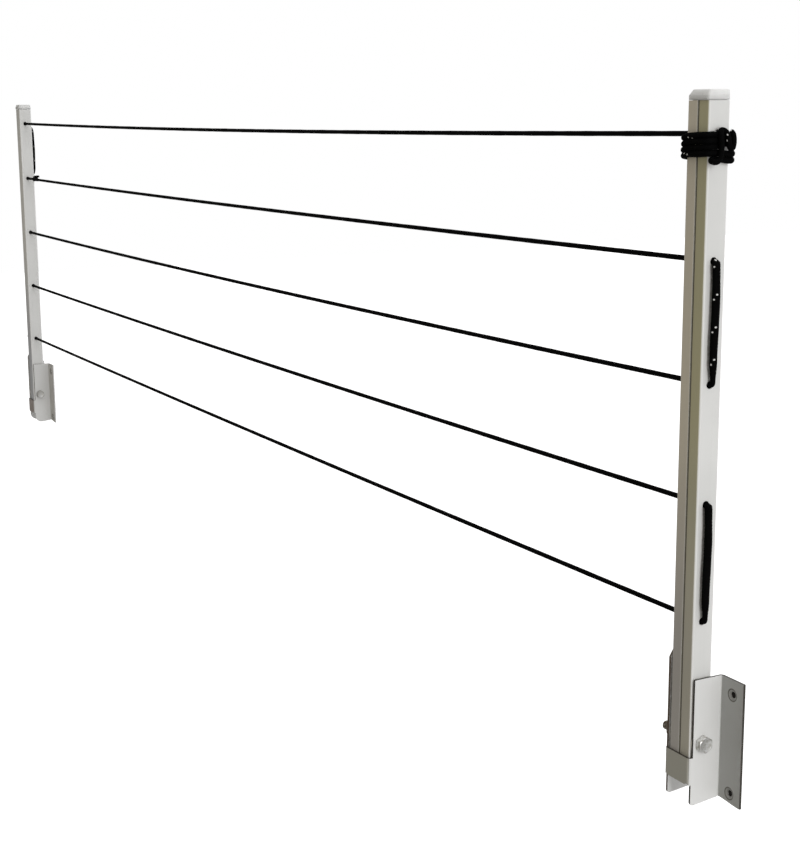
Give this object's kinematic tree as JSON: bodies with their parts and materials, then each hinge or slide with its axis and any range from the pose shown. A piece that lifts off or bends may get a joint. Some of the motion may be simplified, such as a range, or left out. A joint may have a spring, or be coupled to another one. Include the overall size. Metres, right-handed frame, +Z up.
{
  "type": "wall mounted fold-down drying rack",
  "caption": "Fold-down drying rack: two upright hinged arms in wall brackets, strung with taut black cord lines between them; both arms swing down level together.",
  "frame": {"origin": "on the wall plane, midway between the two brackets, level with the pivot bolts' axis", "axes": "+Z up, +X along the cord lines towards the arm with the wound cord end, +Y into the wall, -Y out into the room"},
  "size_m": [2.0632, 0.0372, 0.596],
  "materials": {
    "arm_coat": "off-white powder coat on extruded aluminium, satin",
    "bracket_coat": "off-white powder coat on folded steel sheet, satin",
    "cap_plastic": "light grey moulded plastic",
    "zinc_steel": "zinc plated steel",
    "nylon": "natural nylon",
    "cord": "black braided cord with fine white tracer yarns"
  },
  "bodies": {
    "wall_brackets": {"bracket_right": "bracket_coat", "bracket_left": "bracket_coat", "pivot_bolt_right": "zinc_steel", "pivot_bolt_left": "zinc_steel", "lock_nut_right": "zinc_steel", "lock_nut_left": "zinc_steel", "nut_washer_right": "zinc_steel", "nut_washer_left": "zinc_steel", "nylon_washer_plus_right": "nylon", "nylon_washer_minus_right": "nylon", "nylon_washer_plus_left": "nylon", "nylon_washer_minus_left": "nylon"},
    "right_arm": {"arm_right": "arm_coat", "arm_cap_right": "cap_plastic", "pivot_sleeve_right": "zinc_steel", "line_1": "cord", "line_2": "cord", "line_3": "cord", "line_4": "cord", "line_5": "cord", "loop_right_2_3": "cord", "loop_right_4_5": "cord", "winding_right": "cord", "knot_right_top": "cord", "knot_right_low": "cord"},
    "left_arm": {"arm_left": "arm_coat", "arm_cap_left": "cap_plastic", "pivot_sleeve_left": "zinc_steel", "loop_left_1_2": "cord", "loop_left_3_4": "cord", "knot_left_rear": "cord", "knot_left_end": "cord"}
  },
  "joints": [
    {"name": "right_arm_fold", "type": "hinge", "parent": "wall_brackets", "child": "right_arm", "pos_m": [0.987, -0.021, 0], "axis": [1, 0, 0], "range_deg": [0, 90]},
    {"name": "left_arm_fold", "type": "hinge", "parent": "wall_brackets", "child": "left_arm", "pos_m": [-0.987, -0.021, 0], "axis": [1, 0, 0], "range_deg": [0, 90]}
  ],
  "couplings": [
    {"joint": "left_arm_fold", "follows": "right_arm_fold", "ratio": 1}
  ]
}
